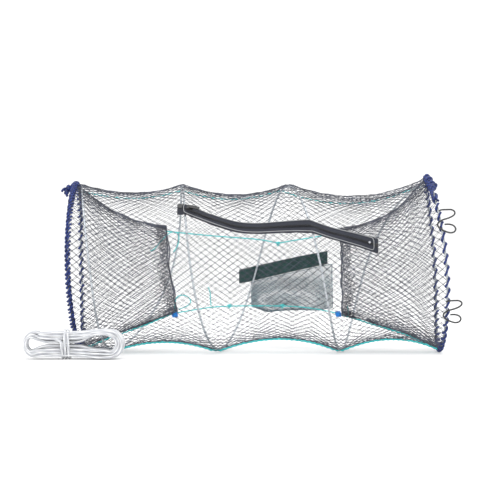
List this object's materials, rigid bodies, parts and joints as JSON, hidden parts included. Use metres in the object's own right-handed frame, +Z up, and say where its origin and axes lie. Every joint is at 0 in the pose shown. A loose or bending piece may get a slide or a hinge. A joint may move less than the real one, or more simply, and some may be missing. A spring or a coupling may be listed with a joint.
{
  "type": "folding crab trap",
  "caption": "Collapsible spring-coil crab trap with a netting tube, netting funnels with slit throats, zipped door, bait pouch, locking clips and a hank of haul rope.",
  "frame": {"origin": "middle of the trap, on the surface that it rests on", "axes": "+X along the trap from the fixed hoop to the leaning hoop with the clips, -Y to the side with the zip, +Z up"},
  "size_m": [0.7159, 0.3463, 0.3036],
  "materials": {
    "spring_wire": "galvanised spring wire",
    "clip_wire": "dark coated wire",
    "lacing_rope": "twisted polyethylene rope",
    "netting": "knotted polyethylene twine",
    "tie_cord": "bright braided cord",
    "seam_cord": "braided cord",
    "zip_tape": "woven tape",
    "zip_teeth": "moulded nylon coil",
    "zip_slider": "black enamelled zinc",
    "pouch_mesh": "fine knitted mesh",
    "hook_and_loop": "hook and loop tape",
    "haul_rope": "white braided rope"
  },
  "bodies": {
    "trap": {"left_hoop": "spring_wire", "lacing_left": "lacing_rope", "lacing_knot_left": "lacing_rope", "haul_rope_hank": "haul_rope", "spring_coil": "spring_wire", "net_body": "netting", "funnel_left": "netting", "funnel_right": "netting", "throat_rim_left": "netting", "throat_rim_right": "netting", "throat_tie_left": "tie_cord", "throat_tie_right": "tie_cord", "throat_cord_upper": "seam_cord", "throat_cord_lower": "seam_cord", "seam_bottom": "seam_cord", "seam_top": "seam_cord", "funnel_seam_left": "seam_cord", "funnel_seam_right": "seam_cord", "zip_tape_upper": "zip_tape", "zip_tape_lower": "zip_tape", "zip_teeth": "zip_teeth", "zip_stop_right": "zip_teeth", "bait_pouch": "pouch_mesh", "bait_strip_hook": "hook_and_loop"},
    "right_end": {"right_hoop": "spring_wire", "lacing_right": "lacing_rope", "lacing_knot_right": "lacing_rope"},
    "upper_clip": {"clip_upper": "clip_wire"},
    "lower_clip": {"clip_lower": "clip_wire"},
    "zip_end": {"zip_stop_left": "zip_teeth"},
    "slider": {"zip_slider": "zip_slider"},
    "pull": {"zip_pull": "zip_slider"},
    "bait_flap": {"bait_strip_loop": "hook_and_loop"}
  },
  "joints": [
    {"name": "fold", "type": "slide", "parent": "trap", "child": "right_end", "axis": [1, 0, 0], "range_m": [-0.58, 0], "stiffness_N_per_m": 18, "springref_m": 0.06, "deforming": ["spring_coil", "net_body", "funnel_left", "funnel_right", "throat_rim_left", "throat_rim_right", "throat_tie_left", "throat_tie_right", "throat_cord_upper", "throat_cord_lower", "seam_bottom", "seam_top", "funnel_seam_left", "funnel_seam_right", "zip_tape_upper", "zip_tape_lower", "zip_teeth", "zip_stop_right", "bait_pouch", "bait_strip_hook", "bait_strip_loop"]},
    {"name": "upper_clip_swing", "type": "hinge", "parent": "right_end", "child": "upper_clip", "pos_m": [0.29038, -0.13491, 0.22273], "axis": [0, 0.4695, 0.8829], "range_deg": [-184, 10]},
    {"name": "lower_clip_swing", "type": "hinge", "parent": "right_end", "child": "lower_clip", "pos_m": [0.30072, -0.13233, 0.0746], "axis": [0, -0.5, 0.866], "range_deg": [-184, 10]},
    {"name": "zip_end_fold", "type": "slide", "parent": "trap", "child": "zip_end", "axis": [1, 0, 0], "range_m": [-0.1984, 0.001]},
    {"name": "zip_slide", "type": "slide", "parent": "zip_end", "child": "slider", "axis": [0.9746, -0.1119, -0.1939], "range_m": [0, 0.292]},
    {"name": "pull_swing", "type": "hinge", "parent": "slider", "child": "pull", "pos_m": [-0.11712, -0.10945, 0.24748], "axis": [-0.2181, -0.6707, -0.7089], "range_deg": [0, 165]},
    {"name": "bait_flap_open", "type": "hinge", "parent": "trap", "child": "bait_flap", "pos_m": [0.042, 0.146, 0.12942], "axis": [-0.9731, -0.0024, -0.2303], "range_deg": [0, 100]}
  ],
  "couplings": [
    {"joint": "zip_end_fold", "follows": "fold", "ratio": 0.33865}
  ]
}
